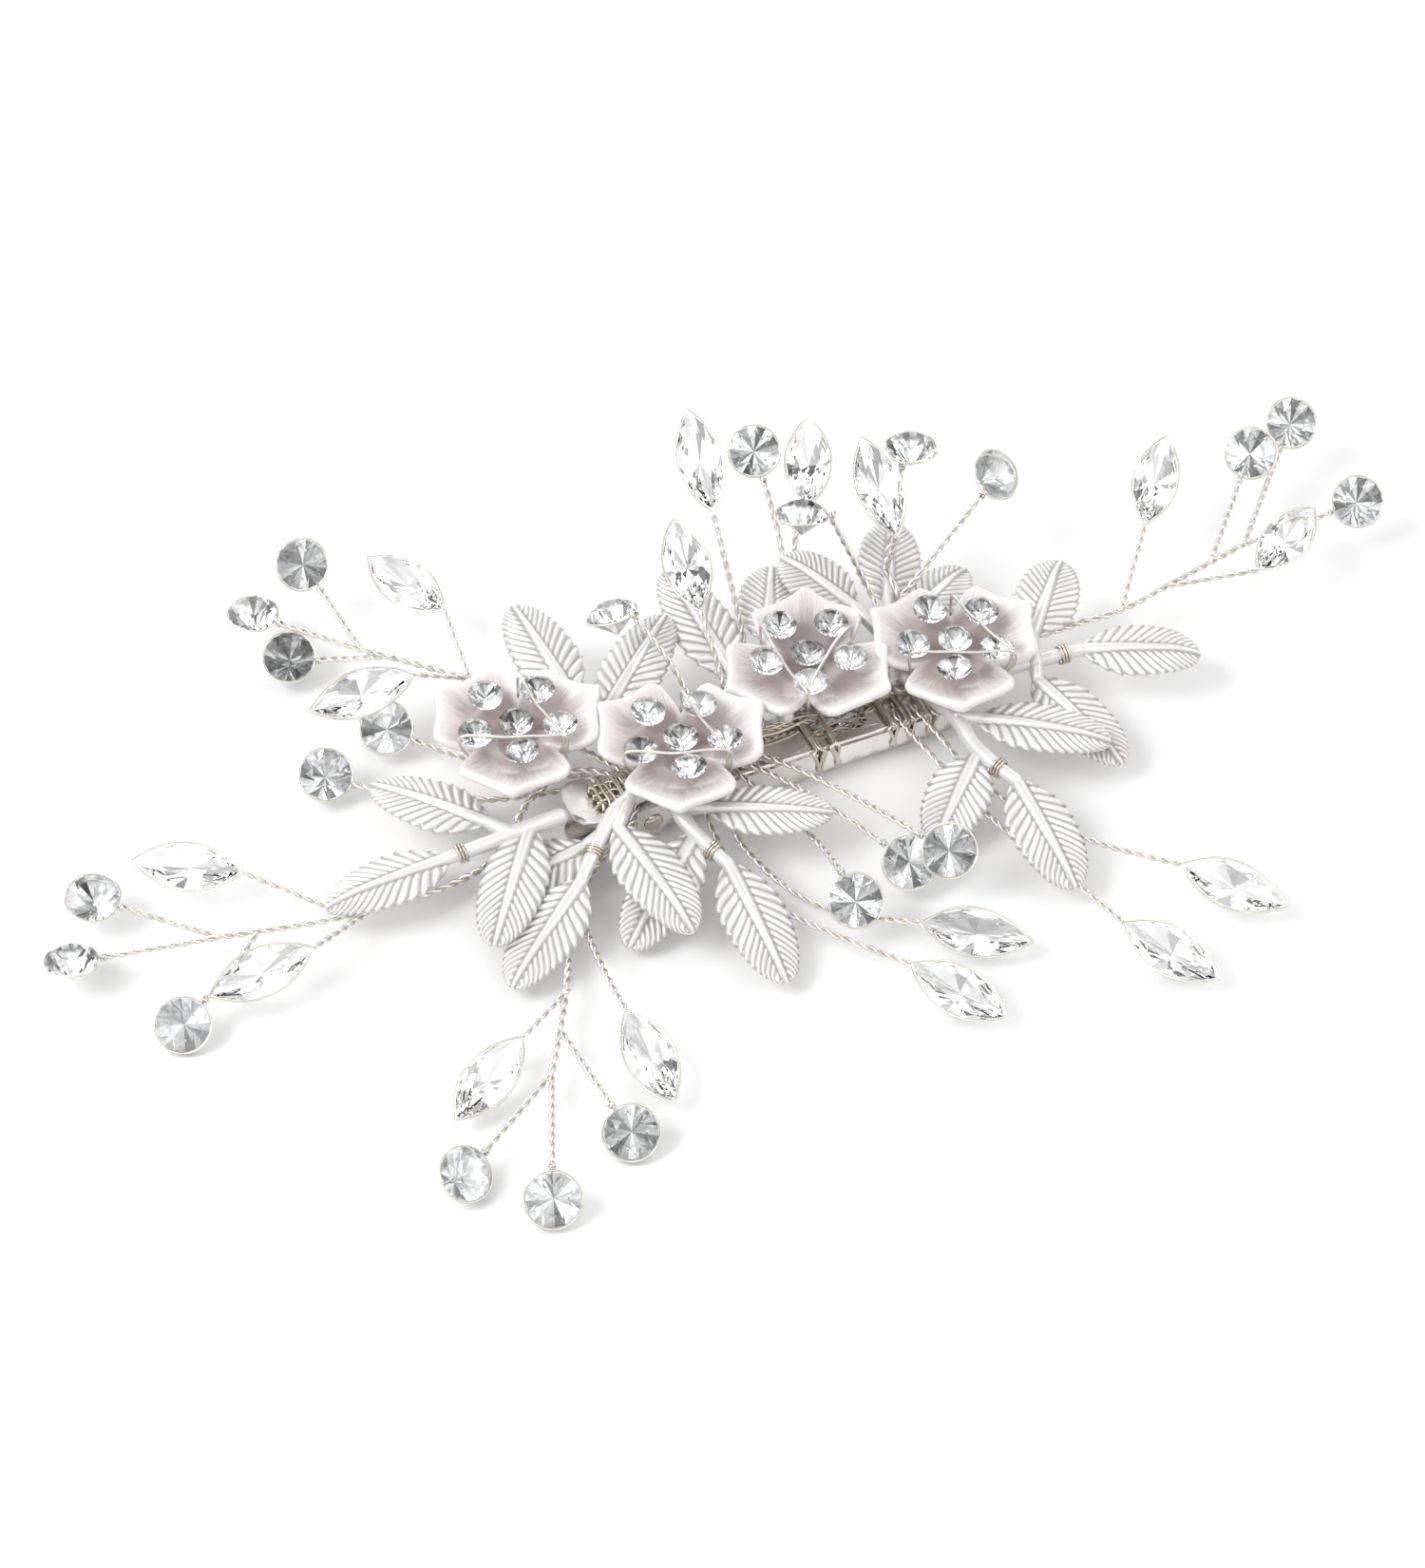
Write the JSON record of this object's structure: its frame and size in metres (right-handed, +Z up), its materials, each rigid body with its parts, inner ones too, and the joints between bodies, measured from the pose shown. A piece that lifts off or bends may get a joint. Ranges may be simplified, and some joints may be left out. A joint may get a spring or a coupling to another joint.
{
  "type": "rhinestone hair clip",
  "caption": "Floral bridal hair clip: sprung alligator jaws carry pearl petals, cast leaf sprigs and wired crystal sprays.",
  "frame": {"origin": "middle of the clip's width on the flat underside of the lower jaw, 12.5 mm towards the jaw tip from the hinge pin", "axes": "+X along the bar from the squeezing end to the jaw tip, +Z up out of the decorated side, -Z out of the underside of the lower jaw"},
  "size_m": [0.1442, 0.0844, 0.0188],
  "materials": {
    "clip_metal": "bright nickel plate, rounded sheet edges",
    "pin_metal": "bright plated rivet",
    "spring_steel": "drawn spring wire",
    "binding_wire": "fine champagne silver wire",
    "twisted_wire": "pale champagne silver wire, twisted in pairs",
    "small_stones": "foiled faceted crystal",
    "round_stones": "foiled faceted crystal",
    "marquise_stones": "clear faceted crystal",
    "petal_resin": "pearl resin, brushed, brown-pink in the cup",
    "leaf_paint": "pearl silver paint on cast metal"
  },
  "bodies": {
    "clip_body": {"bar_wrap_front": "binding_wire", "bar_wrap_middle": "binding_wire", "bar_wrap_rear": "binding_wire", "flower_1": "petal_resin", "flower_2": "petal_resin", "flower_3": "petal_resin", "flower_4": "petal_resin", "flower_stones_1": "small_stones", "flower_stones_2": "small_stones", "flower_stones_3": "small_stones", "flower_stones_4": "small_stones", "flower_wire_1": "binding_wire", "flower_wire_2": "binding_wire", "flower_wire_3": "binding_wire", "flower_wire_4": "binding_wire", "hinge_pin": "pin_metal", "leaf_sprig_back": "leaf_paint", "leaf_sprig_back_left": "leaf_paint", "leaf_sprig_back_right": "leaf_paint", "leaf_sprig_centre": "leaf_paint", "leaf_sprig_far_left": "leaf_paint", "leaf_sprig_front_right": "leaf_paint", "leaf_sprig_left": "leaf_paint", "leaf_sprig_right": "leaf_paint", "spray_back_left_marquise_stones": "marquise_stones", "spray_back_left_round_stones": "round_stones", "spray_back_left_wires": "twisted_wire", "spray_back_marquise_stones": "marquise_stones", "spray_back_right_marquise_stones": "marquise_stones", "spray_back_right_round_stones": "round_stones", "spray_back_right_wires": "twisted_wire", "spray_back_round_stones": "round_stones", "spray_back_wires": "twisted_wire", "spray_far_left_marquise_stones": "marquise_stones", "spray_far_left_round_stones": "round_stones", "spray_far_left_wires": "twisted_wire", "spray_far_right_marquise_stones": "marquise_stones", "spray_far_right_round_stones": "round_stones", "spray_far_right_wires": "twisted_wire", "spray_front_left_marquise_stones": "marquise_stones", "spray_front_left_round_stones": "round_stones", "spray_front_left_wires": "twisted_wire", "spray_front_marquise_stones": "marquise_stones", "spray_front_right_marquise_stones": "marquise_stones", "spray_front_right_wires": "twisted_wire", "spray_front_round_stones": "round_stones", "spray_front_wires": "twisted_wire", "spray_upper_left_marquise_stones": "marquise_stones", "spray_upper_left_round_stones": "round_stones", "spray_upper_left_wires": "twisted_wire", "sprig_ties": "binding_wire", "torsion_spring": "spring_steel", "upper_jaw": "clip_metal"},
    "lower_jaw": {"lower_jaw": "clip_metal"}
  },
  "joints": [
    {"name": "jaw_hinge", "type": "hinge", "parent": "clip_body", "child": "lower_jaw", "pos_m": [-0.0125, 0, 0.0022], "axis": [0, 1, 0], "range_deg": [0, 26], "stiffness_Nm_per_rad": 0.03, "springref_deg": -40.11, "deforming": ["torsion_spring"]}
  ]
}
